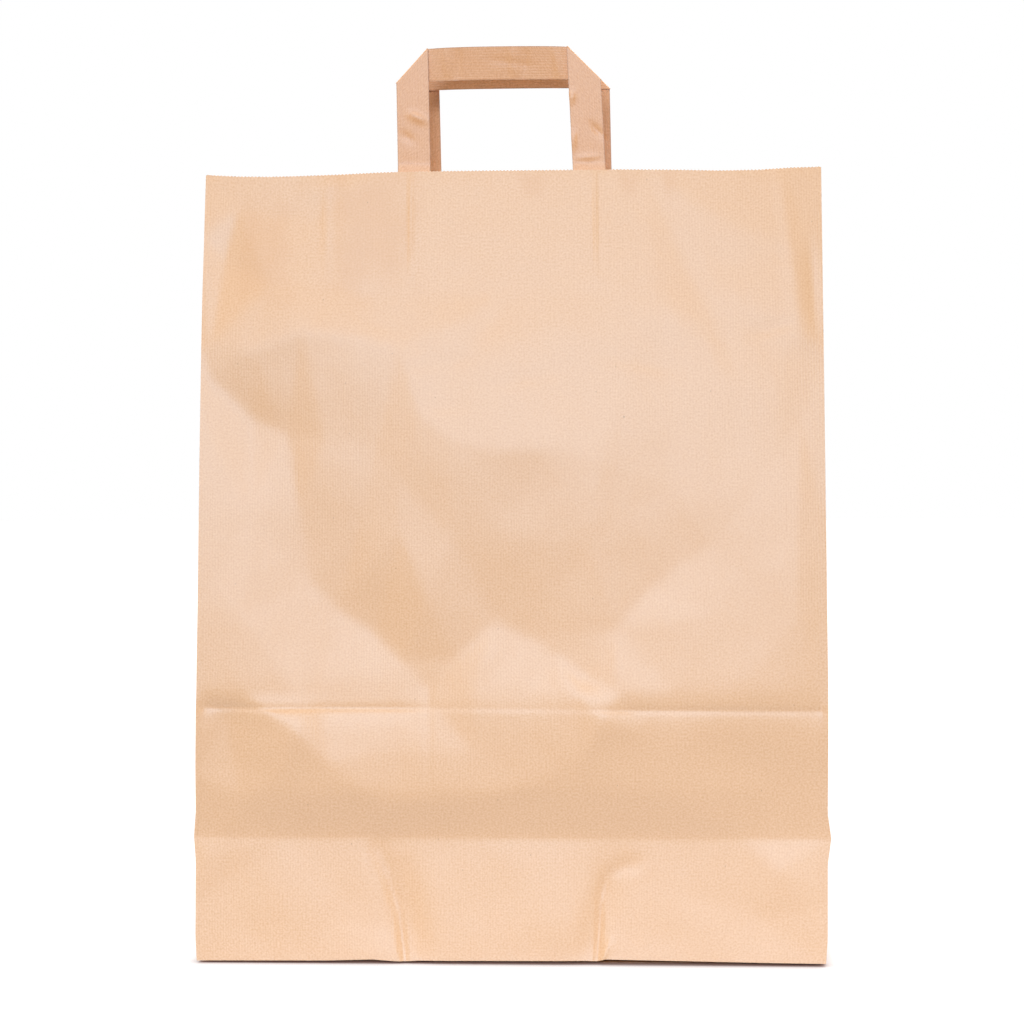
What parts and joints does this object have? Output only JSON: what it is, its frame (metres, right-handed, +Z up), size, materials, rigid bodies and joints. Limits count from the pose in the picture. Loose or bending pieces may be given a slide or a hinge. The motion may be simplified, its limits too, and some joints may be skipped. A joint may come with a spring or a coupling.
{
  "type": "paper carrier bag with flat handles",
  "caption": "Block-bottom kraft paper carrier bag, standing half open with gussets folded in, with two flat folded paper handles glued inside the rim under paper patches.",
  "frame": {"origin": "on the floor under the middle of the base", "axes": "+Z up through the mouth, +X to the right along the front panel, front panel faces -Y"},
  "size_m": [0.353, 0.1402, 0.514],
  "materials": {
    "bag_kraft": "pale ribbed kraft paper, uncoated",
    "handle_kraft": "ribbed kraft paper strip folded in plies, uncoated",
    "patch_kraft": "kraft paper, uncoated"
  },
  "bodies": {
    "root": {"bag_body": "bag_kraft", "handle_front": "handle_kraft", "handle_back": "handle_kraft", "patch_front": "patch_kraft", "patch_back": "patch_kraft"}
  },
  "joints": []
}
